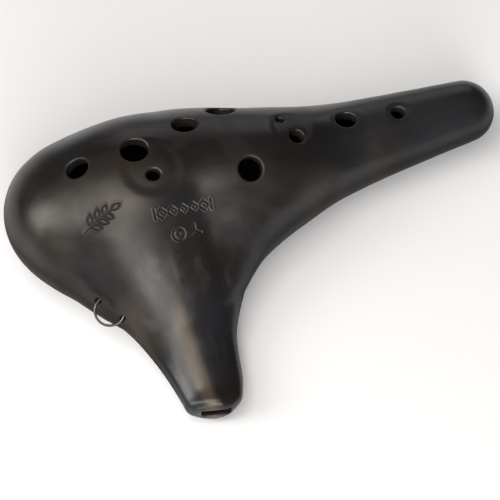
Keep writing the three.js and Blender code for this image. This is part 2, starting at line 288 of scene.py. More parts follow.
def skin_point(x, y, side):
    """Point and outward normal where the vertical line at x, y meets the skin."""
    inside, outside = CORE_Z, CORE_Z + side * SEARCH_REACH
    for _ in range(40):
        z = (inside + outside) / 2
        if plain_skin(np.array([[x, y, z]]))[0] < 0:
            inside = z
        else:
            outside = z
    point = np.array([x, y, inside])
    return point, unit(gradient(plain_skin, point[None]))[0]


# ------------------------------------------------------------------------- stamped ornament


def stroke_distance(u, v, points):
    """Distance from points u, v to a line drawn through the given points."""
    nearest = np.full(len(u), 1e9)
    for (au, av), (bu, bv) in zip(points, points[1:]):
        du, dv = bu - au, bv - av
        t = np.clip(((u - au) * du + (v - av) * dv) / (du * du + dv * dv), 0, 1)
        nearest = np.minimum(nearest, np.hypot(u - au - t * du, v - av - t * dv))
    return nearest


def circle_points(u, v, radius):
    turns = np.radians(np.linspace(0, 360, 16))
    return [(u + radius * math.cos(a), v + radius * math.sin(a)) for a in turns]


def leaf_points(u, v, angle, length, width):
    """Outline of a pointed leaf that starts at u, v."""
    t = np.linspace(0, 1, 9)
    half = width / 2 * np.sin(np.pi * t)
    outline = list(zip(t * length, half)) + list(zip(t[-2::-1] * length, -half[-2::-1]))
    c, s = math.cos(math.radians(angle)), math.sin(math.radians(angle))
    return [(u + c * a - s * b, v + s * a + c * b) for a, b in outline]


# Pairs of leaves of the sprig: place on the stem, angle of each leaf, length.
LEAF_PAIRS = [(2, 78, -28, 4.4), (4, 72, -32, 4.2), (6, 64, -38, 3.7)]
LEAF_WIDTH = 1.9


def sprig_strokes():
    """A stem with pairs of leaves and one at its end."""
    stem = [(-7.5 + 1.5 * i, -3.2 + 0.9 * i - 0.035 * i * i) for i in range(9)]
    strokes = [stem]
    for place, left_angle, right_angle, length in LEAF_PAIRS:
        strokes.append(leaf_points(*stem[place], left_angle, length, LEAF_WIDTH))
        strokes.append(leaf_points(*stem[place], right_angle, length, LEAF_WIDTH))
    strokes.append(leaf_points(*stem[8], 18, 4.0, LEAF_WIDTH))
    return strokes


def band_strokes():
    """A row of small lozenges, each with a dot, between two short bars."""
    strokes = [[(-10.6, -1.7), (-10.6, 1.7)], [(10.6, -1.7), (10.6, 1.7)]]
    for index in range(5):
        u = -8 + 4 * index
        strokes.append([(u - 1.7, 0), (u, 1.7), (u + 1.7, 0), (u, -1.7), (u - 1.7, 0)])
        strokes.append([(u - 0.05, 0), (u + 0.05, 0)])
    return strokes


def glyph_strokes():
    """A ringed dot beside a small three-armed spark."""
    strokes = [circle_points(-3.1, 0, 2.1), [(-3.15, 0), (-3.05, 0)]]
    for angle in (90, 210, 330):
        end = (3.1 + 2.4 * math.cos(math.radians(angle)), 2.4 * math.sin(math.radians(angle)))
        strokes.append([(3.1, 0), end])
    return strokes


def placed_stamp(x, y, turn, reach, strokes):
    """Strokes laid flat on the upper skin at x, y: point, two axes in its plane, reach, strokes."""
    point, normal = skin_point(x, y, 1)
    u_axis = np.array([math.cos(math.radians(turn)), math.sin(math.radians(turn)), 0.0])
    u_axis = unit(u_axis - normal * (u_axis @ normal))
    return point, u_axis, np.cross(normal, u_axis), reach, strokes


STAMPS = [
    placed_stamp(-44.6, -11.6, 4, 13, sprig_strokes()),
    placed_stamp(-15.2, -15.2, -3, 13, band_strokes()),
    placed_stamp(-15.8, -22.4, -2, 7.5, glyph_strokes()),
]


def stamp_distance(p):
    """Distance to the nearest stamped line, for points near the outer skin."""
    nearest = np.full(len(p), 1e9)
    for point, u_axis, v_axis, reach, strokes in STAMPS:
        away = p - point
        near = np.flatnonzero(np.einsum("ij,ij->i", away, away) < reach**2)
        if not len(near):
            continue
        u, v = away[near] @ u_axis, away[near] @ v_axis
        for stroke in strokes:
            nearest[near] = np.minimum(nearest[near], stroke_distance(u, v, stroke))
    return nearest


# ------------------------------------------------------------------- details of the surface


def placed_hole(x, y, width, height_share, side):
    """Middle of a hole's mouth, its axis, two axes across it scaled to its shape, half width."""
    point, normal = skin_point(x, y, side)
    u_axis = unit(np.array([1.0, 0, 0]) - normal * normal[0])
    v_axis = np.cross(normal, u_axis) / height_share
    return point, normal, u_axis, v_axis, width / 2


HOLES = [placed_hole(*hole, 1) for hole in FINGER_HOLES]
HOLES += [placed_hole(*hole, -1) for hole in THUMB_HOLES]
SCOOP_SEATS = [(*skin_point(x, y, 1), radius, depth) for x, y, radius, depth in SCOOPS]


def hand_waves(p):
    """The slight unevenness that hand burnishing leaves."""
    x, y, z = p[:, 0], p[:, 1], p[:, 2]
    waves = np.sin(0.21 * x + 0.13 * y + 1.1) * np.sin(0.17 * y - 0.24 * z + 0.4)
    waves += 0.6 * np.sin(0.11 * x - 0.33 * y + 0.19 * z + 2.0)
    waves += 0.4 * np.sin(0.47 * x + 0.29 * z + 0.7) * np.sin(0.41 * y + 0.31 * z)
    return WAVE_HEIGHT * waves


def outer_skin(p):
    """The skin with its waves, scooped seats and stamps."""
    skin = plain_skin(p) + hand_waves(p)
    for point, normal, radius, depth in SCOOP_SEATS:
        away = p - point
        lift = away @ normal
        aside = np.sqrt(np.maximum(np.einsum("ij,ij->i", away, away) - lift**2, 0))
        scoop = depth * (1 - smooth_step(SCOOP_FLOOR * radius, radius, aside))
        skin += np.where(np.abs(lift) < SCOOP_REACH, scoop, 0)
    stamped = stamp_distance(p)
    line = STAMP_DEPTH * np.exp(-((stamped / STAMP_WIDTH) ** 2))
    lip = STAMP_LIP_HEIGHT * np.exp(-(((stamped - STAMP_LIP_PLACE) / STAMP_LIP_WIDTH) ** 2))
    skin += line - lip
    return skin


def tip_distance(p):
    """Positive past the end face of the mouthpiece."""
    facing = np.array([math.sin(TIP_SKEW), -math.cos(TIP_SKEW)])
    return (p[:, 0] - WINDWAY_X) * facing[0] + (p[:, 1] - TIP_Y) * facing[1]


def beside_hole(p, hole):
    """Height over the mouth of a hole, and distance outwards from its wall."""
    point, normal, u_axis, v_axis, radius = hole
    away = p - point
    return away @ normal, np.hypot(away @ u_axis, away @ v_axis) - radius


def hole_distance(p, hole):
    """Distance to the space of a hole, which ends inside the chamber."""
    lift, outwards = beside_hole(p, hole)
    return np.maximum(outwards, -lift - HOLE_DEPTH)


def along_flue(y, index):
    """Half width, floor or roof of the windway at y."""
    t = (y - TIP_Y) / (NECK_Y - TIP_Y)
    return WINDWAY_LIPS[index] + t * (WINDWAY_EXIT[index] - WINDWAY_LIPS[index])


def windway_distance(p):
    """Distance to the flat space that the breath runs through."""
    x, y, z = p[:, 0], p[:, 1], p[:, 2]
    sides = np.abs(x - WINDWAY_X) - along_flue(y, 0)
    height = np.maximum(z - along_flue(y, 2), along_flue(y, 1) - z)
    return smooth_max(sides, height, WINDWAY_ROUNDING)


def window_distance(p):
    """The sound window and the seat of the labium behind it."""
    x, y, z = p[:, 0], p[:, 1], p[:, 2]
    sides = np.abs(x - WINDWAY_X) - WINDWAY_EXIT[0]
    window_end = NECK_Y + WINDOW_LENGTH + LABIUM_LENGTH + GAP
    ends = np.maximum(WINDOW_START_Y - y, y - window_end)
    return np.maximum(np.maximum(sides, ends), z - WINDOW_TOP_Z)


def ring_distance(p, radius):
    """Distance to a ring of this thickness on the strap ring's circle."""
    away = p - RING_CENTRE
    lift = away @ RING_AXIS
    aside = np.sqrt(np.maximum(np.einsum("ij,ij->i", away, away) - lift**2, 0))
    return np.hypot(aside - RING_RADIUS, lift) - radius


def body_clay(p):
    """Both shells together, before they are parted."""
    clay = smooth_max(outer_skin(p), -p[:, 2], FOOT_ROUNDING)
    clay = np.maximum(clay, -(plain_skin(p) + WALL))
    for hole in HOLES:
        near = np.flatnonzero(np.einsum("ij,ij->i", p - hole[0], p - hole[0]) < HOLE_REACH**2)
        clay[near] = smooth_max(clay[near], -hole_distance(p[near], hole), RIM_SOFTNESS)
    clay = smooth_max(clay, -window_distance(p), WINDOW_ROUNDING)
    return smooth_max(clay, -ring_distance(p, TUNNEL_RADIUS), TUNNEL_ROUNDING)


def spout_clay(p):
    """Both halves of the mouthpiece together, with the lips shaped and the windway open."""
    clay = smooth_max(outer_skin(p), -p[:, 2], FOOT_ROUNDING)
    for side in (-1, 1):
        corner = p - (WINDWAY_X + KEEL_X + side * KEEL_HALF_WIDTH, TIP_Y, KEEL_Z)
        facing = unit(np.array(KEEL_FACING) * (side, 1, 1))
        clay = smooth_max(clay, corner @ facing, KEEL_ROUNDING)
    rounding = TIP_ROUNDING + TIP_ROUNDING_MORE[0] * smooth_step(8, 12, p[:, 2])
    rounding += TIP_ROUNDING_MORE[1] * smooth_step(2, 9, p[:, 0] - WINDWAY_X)
    clay = round_max(clay, tip_distance(p), rounding)
    return smooth_max(clay, -windway_distance(p), WINDWAY_ROUNDING)


def labium_clay(p):
    """The blade behind the window, with its ramp on the outside."""
    x, y, z = p[:, 0], p[:, 1], p[:, 2]
    start = NECK_Y + WINDOW_LENGTH
    ramp_end = start + LABIUM_LENGTH - LABIUM_HEEL
    ramp_z = skin_point(WINDWAY_X, ramp_end, -1)[0][2]
    slope = (LABIUM_EDGE_Z - ramp_z) / (LABIUM_LENGTH - LABIUM_HEEL)
    ramp = (LABIUM_EDGE_Z - slope * (y - start) - z) / math.hypot(1, slope)
    top = z - (LABIUM_EDGE_Z + LABIUM_EDGE_THICKNESS + LABIUM_TOP_SLOPE * (y - start))
    sides = np.abs(x - WINDWAY_X) - WINDWAY_EXIT[0] + GAP / 2
    ends = np.maximum(start - y, y - start - LABIUM_LENGTH)
    wedge = np.maximum(np.maximum(ramp, top), np.maximum(sides, ends))
    return smooth_max(wedge, outer_skin(p), LABIUM_ROUNDING)


def roof_clay(p):
    """The block that roofs the windway, under the parting plane."""
    x, y, z = p[:, 0], p[:, 1], p[:, 2]
    floor = along_flue(y, 2) + GAP / 2 - z
    top = z - (PARTING_Z + PARTING_SLOPE * y - GAP)
    sides = np.abs(x - WINDWAY_X) - ROOF_BLOCK_HALF_WIDTH + GAP
    ends = np.maximum(ROOF_BLOCK_START_Y + GAP - y, y - NECK_Y + GAP / 2)
    heights = smooth_max(floor, top, ROOF_BLOCK_ROUNDING)
    outline = smooth_max(sides, ends, ROOF_BLOCK_ROUNDING)
    return smooth_max(heights, outline, ROOF_BLOCK_ROUNDING)


# ------------------------------------------------------------------ from a field to a mesh


def sample_band(field, axes):
    """Field on a grid, exact near the surface and only rough away from it."""
    coarse = 4
    shape = [len(axis) for axis in axes]
    rough_axes = [axis[::coarse] for axis in axes]
    rough_grid = np.stack(np.meshgrid(*rough_axes, indexing="ij"), -1).reshape(-1, 3)
    rough = field(rough_grid).reshape([len(axis) for axis in rough_axes])
    for axis in range(3):
        rough = np.repeat(rough, coarse, axis=axis)
    rough = rough[: shape[0], : shape[1], : shape[2]].copy()
    cell = axes[0][1] - axes[0][0]
    near = np.flatnonzero(np.abs(rough).reshape(-1) < 2.6 * coarse * cell)
    i, j, k = np.unravel_index(near, shape)
    points = np.stack([axes[0][i], axes[1][j], axes[2][k]], -1)
    values = rough.reshape(-1)
    values[near] = field(points)
    return values.reshape(shape)


def crossed_cells(inside):
    """The cells that have corners on both sides of the surface."""
    count = np.zeros([n - 1 for n in inside.shape], int)
    for corner in np.ndindex(2, 2, 2):
        ends = [slice(s, n - 1 + s) for s, n in zip(corner, inside.shape)]
        count += inside[tuple(ends)]
    return np.argwhere((count > 0) & (count < 8))


def cell_places(values, cells):
    """Middle of the points where the surface crosses each cell's edges, in cells."""
    total = np.zeros((len(cells), 3))
    crossings = np.zeros(len(cells))
    for axis in range(3):
        for u, v in np.ndindex(2, 2):
            start = np.zeros(3, int)
            start[(axis + 1) % 3], start[(axis + 2) % 3] = u, v
            end = start.copy()
            end[axis] = 1
            a = values[tuple((cells + start).T)]
            b = values[tuple((cells + end).T)]
            crossed = (a < 0) != (b < 0)
            t = np.where(crossed, a / np.where(crossed, a - b, 1), 0)
            place = cells + start + t[:, None] * (end - start)
            total += np.where(crossed[:, None], place, 0)
            crossings += crossed
    return total / crossings[:, None]


def crossed_quads(inside, cells):
    """A quad around each grid edge that the surface crosses, facing outwards."""
    index = np.full([n - 1 for n in inside.shape], -1)
    index[tuple(cells.T)] = np.arange(len(cells))
    quads = []
    for axis in range(3):
        u, v = (axis + 1) % 3, (axis + 2) % 3
        a = np.moveaxis(inside, (axis, u, v), (0, 1, 2))[:-1, 1:-1, 1:-1]
        b = np.moveaxis(inside, (axis, u, v), (0, 1, 2))[1:, 1:-1, 1:-1]
        cube = np.moveaxis(index, (axis, u, v), (0, 1, 2))
        s, i, j = np.nonzero(a != b)
        corners = [cube[s, i, j], cube[s, i + 1, j], cube[s, i + 1, j + 1], cube[s, i, j + 1]]
        around = np.stack(corners, -1)
        flip = b[s, i, j]
        around[flip] = around[flip][:, ::-1]
        quads.append(around)
    return np.concatenate(quads)


def halved(points, quads):
    """Each quad cut into two triangles along its shorter diagonal."""
    p = points[quads]
    short = np.linalg.norm(p[:, 0] - p[:, 2], axis=1) <= np.linalg.norm(p[:, 1] - p[:, 3], axis=1)
    one, two = quads[short], quads[~short]
    triangles = [one[:, [0, 1, 2]], one[:, [0, 2, 3]], two[:, [0, 1, 3]], two[:, [1, 2, 3]]]
    return np.concatenate(triangles)


def grid_surface(field, low, high, cell):
    """One vertex in each cell that the surface crosses, one quad around each crossed edge."""
    first = [math.floor(a / cell) for a in low]
    last = [math.ceil(a / cell) for a in high]
    axes = [np.arange(a, b + 1) * cell for a, b in zip(first, last)]
    values = sample_band(field, axes)
    cells = crossed_cells(values < 0)
    points = (cell_places(values, cells) + np.array(first)) * cell
    return points, halved(points, crossed_quads(values < 0, cells))


def settle(field, points, longest, rounds=3):
    """Slides points along the gradient on to the surface."""
    points = points.copy()
    moving = np.arange(len(points))
    for _ in range(rounds):
        value = field(points[moving])
        slope = gradient(field, points[moving], value)
        step = -slope * (value / np.maximum(np.einsum("ij,ij->i", slope, slope), 0.15))[:, None]
        size = np.linalg.norm(step, axis=1, keepdims=True)
        points[moving] += step * np.minimum(1, longest / np.maximum(size, 1e-12))
        moving = moving[np.abs(value) > SETTLED]
        if not len(moving):
            break
    return points


def edges_of(triangles):
    """Each edge once, and the number of the edge after each corner."""
    ends = np.stack([triangles, np.roll(triangles, -1, axis=1)], -1).reshape(-1, 2)
    ends.sort(axis=1)
    edges, number = np.unique(ends, axis=0, return_inverse=True)
    return edges, number.reshape(-1, 3)


def split_triangles(triangles, middles):
    """Cuts triangles at the middles of edges; middles holds -1 where an edge stays whole."""
    marks = middles >= 0
    kinds = marks.sum(axis=1)
    result = [triangles[kinds == 0]]
    for kind in (1, 2):
        for turn in range(3):
            ends, halves, marked = (np.roll(rows, -turn, axis=1) for rows in (triangles, middles, marks))
            pattern = marked[:, 0] & ~marked[:, 2] & (marked[:, 1] == (kind == 2))
            chosen = pattern & (kinds == kind)
            a, b, c = ends[chosen].T
            ab, bc, _ = halves[chosen].T
            if kind == 1:
                parts = [(a, ab, c), (ab, b, c)]
            else:
                parts = [(ab, b, bc), (a, ab, bc), (a, bc, c)]
            result += [np.stack(part, -1) for part in parts]
    a, b, c = triangles[kinds == 3].T
    ab, bc, ca = middles[kinds == 3].T
    parts = [(a, ab, ca), (ab, b, bc), (ca, bc, c), (ab, bc, ca)]
    result += [np.stack(part, -1) for part in parts]
    return np.concatenate(result)


def split_edges(points, triangles, allowed):
    """Halves each edge that is longer than is allowed at its middle."""
    edges, number = edges_of(triangles)
    middle = points[edges].mean(axis=1)
    length = np.linalg.norm(points[edges[:, 0]] - points[edges[:, 1]], axis=1)
    split = length > allowed(middle)
    if not split.any():
        return points, triangles, np.zeros(0, int)
    fresh = len(points) + np.arange(split.sum())
    added = np.full(len(edges), -1)
    added[split] = fresh
    return np.vstack([points, middle[split]]), split_triangles(triangles, added[number]), fresh


def even_out(field, points, triangles, longest):
    """Moves vertices along the surface towards the middle of their neighbours."""
    edges, number = edges_of(triangles)
    uses = np.bincount(number.reshape(-1), minlength=len(edges))
    fixed = np.zeros(len(points), bool)
    fixed[edges[uses == 1].reshape(-1)] = True
    for _ in range(3):
        total = np.zeros_like(points)
        count = np.zeros(len(points))
        for a, b in ((0, 1), (1, 0)):
            np.add.at(total, edges[:, a], points[edges[:, b]])
            np.add.at(count, edges[:, a], 1)
        move = 0.5 * (total / count[:, None] - points)
        normal = unit(gradient(field, points, field(points)))
        move -= normal * np.einsum("ij,ij->i", move, normal)[:, None]
        move[fixed] = 0
        points = points + move
    return settle(field, points, longest, 2)


def detail_size(p):
    """How long an edge may be: short near rims, stamped lines, the tunnel and the lips."""
    size = np.full(len(p), PLAIN_EDGE)
    for hole in HOLES:
        away = p - hole[0]
        near = np.flatnonzero(np.einsum("ij,ij->i", away, away) < RIM_REACH**2)
        lift, outwards = beside_hole(p[near], hole)
        rim = np.hypot(outwards - 0.4, lift + 0.4)
        size[near] = np.minimum(size[near], RIM_EDGE + 0.35 * np.maximum(rim - 1.5, 0))
    near_stamp = STAMP_EDGE + 0.3 * np.maximum(stamp_distance(p) - 1.0, 0)
    size = np.where(plain_skin(p) > -2, np.minimum(size, near_stamp), size)
    tunnel = np.maximum(np.abs(ring_distance(p, TUNNEL_RADIUS)) - 0.6, 0)
    size = np.minimum(size, TUNNEL_EDGE + 0.4 * tunnel)
    mouth = np.maximum(np.hypot(np.maximum(windway_distance(p), 0), tip_distance(p)) - 2.0, 0)
    return np.minimum(size, LIPS_EDGE + 0.3 * mouth)


def fine_surface(field, low, high, cell, allowed=None):
    """Even triangles on the surface of a field, refined where shorter edges are asked for."""
    points, triangles = grid_surface(field, low, high, cell)
    points = settle(field, points, cell / 2)
    for _ in range(4 if allowed else 0):
        points, triangles, fresh = split_edges(points, triangles, allowed)
        if not len(fresh):
            break
        points[fresh] = settle(field, points[fresh], cell / 3)
    points = even_out(field, points, triangles, cell / 3)
    return points, triangles


# ----------------------------------------------------------------------- cutting and output


def mesh_of(points, triangles):
    """Triangles as a bmesh, without the ones that have collapsed or come twice."""
    bm = bmesh.new()
    for point in points:
        bm.verts.new(point)
    bm.verts.ensure_lookup_table()
    for a, b, c in triangles.tolist():
        if a != b and b != c and a != c:
            try:
                bm.faces.new((bm.verts[a], bm.verts[b], bm.verts[c]))
            except ValueError:
                pass
    bm.faces.layers.int.new("cap")
    return bm


def cut(bm, point, normal, keep_front):
    """Keeps one side of a plane and closes the cut with flat faces."""
    geometry = bm.verts[:] + bm.edges[:] + bm.faces[:]
    result = bmesh.ops.bisect_plane(
        bm, geom=geometry, dist=1e-5, plane_co=point, plane_no=normal,
        clear_outer=not keep_front, clear_inner=keep_front,
    )
    edges = [e for e in result["geom_cut"] if isinstance(e, bmesh.types.BMEdge) and e.is_boundary]
    facing = Vector(normal) * (-1 if keep_front else 1)
    filled = bmesh.ops.triangle_fill(
        bm, edges=edges, use_beauty=True, use_dissolve=False, normal=facing
    )
    cap = bm.faces.layers.int["cap"]
    for face in filled["geom"]:
        if isinstance(face, bmesh.types.BMFace):
            face[cap] = 1
            face.normal_update()
            if face.normal.dot(facing) < 0:
                face.normal_flip()
    return bm


def shading_normals(field, points):
    """Normals from the field, with the joins between the steps of its runs smoothed out."""
    joins = gradient(plain_skin, points, step=JOIN_REACH) - gradient(plain_skin, points)
    on_skin = np.exp(-((outer_skin(points) / 0.4) ** 2))
    return unit(gradient(field, points) + on_skin[:, None] * joins)


def corner_normals(mesh, normals):
    """The given vertex normals at each corner, but flat on cuts and across sharp edges."""
    corner_vertex = np.empty(len(mesh.loops), int)
    mesh.loops.foreach_get("vertex_index", corner_vertex)
    smooth = normals[corner_vertex].reshape(-1, 3, 3)
    flat = np.empty(len(mesh.polygons) * 3)
    mesh.polygons.foreach_get("normal", flat)
    flat = flat.reshape(-1, 3)
    is_cap = np.empty(len(mesh.polygons), int)
    mesh.attributes["cap"].data.foreach_get("value", is_cap)
    faceted = (is_cap[:, None] > 0) | (np.einsum("ijk,ik->ij", smooth, flat) < 0.3)
    return np.where(faceted[..., None], flat[:, None], smooth)


def clay_object(name, bm, field, material, body):
    """Writes a mesh in metres, with normals and masks worked out from the field."""
    bmesh.ops.triangulate(bm, faces=bm.faces[:])
    mesh = bpy.data.meshes.new(name + "_fired")
    bm.to_mesh(mesh)
    bm.free()
    points = np.empty(len(mesh.vertices) * 3)
    mesh.vertices.foreach_get("co", points)
    points = points.reshape(-1, 3)
    normals = shading_normals(field, points)
    at_corners = corner_normals(mesh, normals)
    write_masks(mesh, points, normals)
    mesh.vertices.foreach_set("co", (points * MM).reshape(-1))
    mesh.polygons.foreach_set("use_smooth", np.ones(len(mesh.polygons), bool))
    mesh.update()
    mesh.normals_split_custom_set(at_corners.reshape(-1, 3).tolist())
    mesh.materials.append(material)
    piece = bpy.data.objects.new(name + "_fired", mesh)
    bpy.context.scene.collection.objects.link(piece)
    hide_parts(name)
    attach(piece, body)


def write_masks(mesh, points, normals):
    """Where the clay is raw and painted darker as shade inside the holes, the chamber and the windway,
    worn, stamped or left dull, for its material to read.
    """
    depth = -np.maximum(plain_skin(points), -points[:, 2])
    lips = smooth_step(TIP_Y + 14, TIP_Y + 5, points[:, 1])
    windway = smooth_step(0.6, 0.2, windway_distance(points))
    windway = windway * smooth_step(-0.1, -0.5, tip_distance(points))
    # Deeper than the skin and in the windway the clay is raw, and its colour there is also painted
    # darker as shade.
    raw_and_shade = np.maximum(smooth_step(1.0, 2.8, depth) * (1 - lips), windway)
    rim = np.zeros(len(points))
    for hole in HOLES:
        lift, outwards = beside_hole(points, hole)
        edge = np.hypot(outwards - 0.25, lift + 0.25)
        rim = np.maximum(rim, np.exp(-((edge / 0.6) ** 2)))
    groove = np.exp(-((stamp_distance(points) / 0.45) ** 2)) * (depth < 2)
    dull = smooth_step(-0.55, -0.08, -normals[:, 2]) * (1 - lips)
    for mask_name, values in (("raw_and_shade", raw_and_shade), ("rim", rim), ("groove", groove), ("dull", dull)):
        layer = mesh.attributes.new(mask_name, "FLOAT", "POINT")
        layer.data.foreach_set("value", values.astype(np.float32))


# -------------------------------------------------------------------------------- materials


class Nodes:
    """Short calls for building a node material."""

    def __init__(self, name):
        self.material = bpy.data.materials.new(name)
        self.material.use_nodes = True
        self.tree = self.material.node_tree
        self.tree.nodes.clear()
        self.shader = self.add("ShaderNodeBsdfPrincipled")
        output = self.add("ShaderNodeOutputMaterial")
        self.link(self.shader.outputs[0], output.inputs["Surface"])
        self.coordinates = self.add("ShaderNodeTexCoord").outputs["Object"]

    def add(self, kind, **values):
        node = self.tree.nodes.new(kind)
        for key, value in values.items():
            setattr(node, key, value)
        return node

    def link(self, source, target):
        self.tree.links.new(source, target)

    def put(self, target, value):
        if isinstance(value, bpy.types.NodeSocket):
            self.link(value, target)
        else:
            target.default_value = value

    def mask(self, name):
        return self.add("ShaderNodeAttribute", attribute_name=name).outputs["Fac"]

    def separated(self):
        """Sockets of the coordinates X, Y and Z, in metres."""
        node = self.add("ShaderNodeSeparateXYZ")
        self.link(self.coordinates, node.inputs[0])
        return node.outputs

    def stretched(self, scale, turn=(0, 0, 0)):
        node = self.add("ShaderNodeMapping")
        node.inputs["Scale"].default_value = scale
        node.inputs["Rotation"].default_value = turn
        self.link(self.coordinates, node.inputs["Vector"])
        return node.outputs[0]

    def noise(self, vector, scale, detail=4.0, roughness=0.55, distortion=0.0):
        node = self.add("ShaderNodeTexNoise")
        self.link(vector, node.inputs["Vector"])
        node.inputs["Scale"].default_value = scale
        node.inputs["Detail"].default_value = detail
        node.inputs["Roughness"].default_value = roughness
        node.inputs["Distortion"].default_value = distortion
        return node.outputs["Fac"]

    def remap(self, value, low, high, to_low=0.0, to_high=1.0):
        node = self.add("ShaderNodeMapRange", interpolation_type="SMOOTHSTEP")
        self.link(value, node.inputs["Value"])
        limits = {"From Min": low, "From Max": high, "To Min": to_low, "To Max": to_high}
        for key, number in limits.items():
            node.inputs[key].default_value = number
        return node.outputs["Result"]

    def math(self, operation, a, b):
        node = self.add("ShaderNodeMath", operation=operation)
        self.put(node.inputs[0], a)
        self.put(node.inputs[1], b)
        return node.outputs[0]

    def mix(self, amount, a, b):
        node = self.add("ShaderNodeMix", data_type="RGBA")
        self.put(node.inputs["Factor"], amount)
        self.put(node.inputs[6], a if isinstance(a, bpy.types.NodeSocket) else (*a, 1))
        self.put(node.inputs[7], b if isinstance(b, bpy.types.NodeSocket) else (*b, 1))
        return node.outputs[2]

    def blend(self, amount, a, b):
        node = self.add("ShaderNodeMix", data_type="FLOAT")
        self.put(node.inputs["Factor"], amount)
        self.put(node.inputs[2], a)
        self.put(node.inputs[3], b)
        return node.outputs[0]

    def bump(self, height, distance, strength, base=None):
        node = self.add("ShaderNodeBump")
        node.inputs["Strength"].default_value = strength
        node.inputs["Distance"].default_value = distance
        self.link(height, node.inputs["Height"])
        if base is not None:
            self.link(base, node.inputs["Normal"])
        return node.outputs[0]


# Two long streaks down the spout, tan and bluish, laid where the highlight runs: partly clay tone,
# partly a painted highlight.
# In metres: where they start and where they are full along Y, how ragged their edges are, and each one's
# middle in X and half width, solid and soft.
STREAK_START_Y = -0.036
STREAK_FULL_Y = -0.046
STREAK_RAGGED = 0.0009
TAN_PLACE = (-0.0287, 0.0006, 0.0040)
BLUE_PLACE = (-0.0344, 0.0010, 0.0054)
STREAK_LEAN = 0.079  # how far they lean in X for each step in Y

# Depth in metres of the burnishing strokes, the facets between them and the raw grain.
STROKE_DEPTH = 0.00002
FACET_DEPTH = 0.00010
GRAIN_DEPTH = 0.00018

BLACK = (0.0088, 0.0077, 0.0080)
WARM_SMOKE = (0.0215, 0.0175, 0.0138)
COOL_SMOKE = (0.0098, 0.0110, 0.0148)
BROWN = (0.036, 0.027, 0.019)
BLUE_TONE_AND_HIGHLIGHT = (0.020, 0.024, 0.028)
TAN_TONE_AND_HIGHLIGHT = (0.055, 0.044, 0.0305)
WORN_RIM = (0.024, 0.021, 0.019)
GROOVE_DARK = (0.004, 0.0035, 0.0035)
INSIDE_DARK = (0.006, 0.0055, 0.005)
INSIDE_PALE = (0.014, 0.0125, 0.011)


def spout_streak(n, place, noise, middle, solid, soft):
    """Mask of one ragged streak that runs down the spout, leaning a little across it."""
    across = n.math("ADD", place["X"], n.math("MULTIPLY", place["Y"], STREAK_LEAN))
    from_middle = n.math("ABSOLUTE", n.math("SUBTRACT", across, middle), 0.0)
    ragged = n.remap(noise, 0.3, 0.7, -STREAK_RAGGED, STREAK_RAGGED)
    ragged = n.math("ADD", from_middle, ragged)
    along = n.remap(place["Y"], STREAK_START_Y, STREAK_FULL_Y)
    return n.math("MULTIPLY", along, n.remap(ragged, soft, solid))


def burnished_colour(n, place, on_spout, wide, wide_spout, cloud):
    """Soot black with warm and cool smoke, brown streaks and two long ones down the spout, tan and
    bluish, partly clay tone and partly a painted highlight.
    """
    smoke = n.noise(n.stretched((1, 1, 1), (0.4, 0.9, 0.2)), 17.0, 2.0, 0.5, 0.8)
    colour = n.mix(n.remap(cloud, 0.45, 0.68, 0.0, 0.85), BLACK, WARM_SMOKE)
    colour = n.mix(n.remap(smoke, 0.47, 0.67, 0.0, 0.85), colour, COOL_SMOKE)
    streak = n.math("MULTIPLY", n.remap(wide, 0.56, 0.74), n.blend(on_spout, 0.15, 0.7))
    colour = n.mix(streak, colour, BROWN)
    # The tan and blue streaks lie along the highlight on the spout: partly clay tone, partly painted
    # highlight.
    tan = spout_streak(n, place, wide_spout, *TAN_PLACE)
    blue = spout_streak(n, place, wide_spout, *BLUE_PLACE)
    colour = n.mix(n.math("MULTIPLY", blue, 0.8), colour, BLUE_TONE_AND_HIGHLIGHT)
    return n.mix(n.math("MULTIPLY", tan, 0.85), colour, TAN_TONE_AND_HIGHLIGHT)


def burnished_roughness(n, on_spout, wide, fine, cloud):
    """Satin, a little glossier on the spout, and uneven with the strokes and the smoke."""
    roughness = n.blend(n.remap(wide, 0.35, 0.68), n.blend(on_spout, 0.30, 0.27), 0.36)
    roughness = n.math("ADD", roughness, n.remap(fine, 0.3, 0.7, -0.02, 0.02))
    return n.math("ADD", roughness, n.remap(cloud, 0.35, 0.65, -0.03, 0.04))


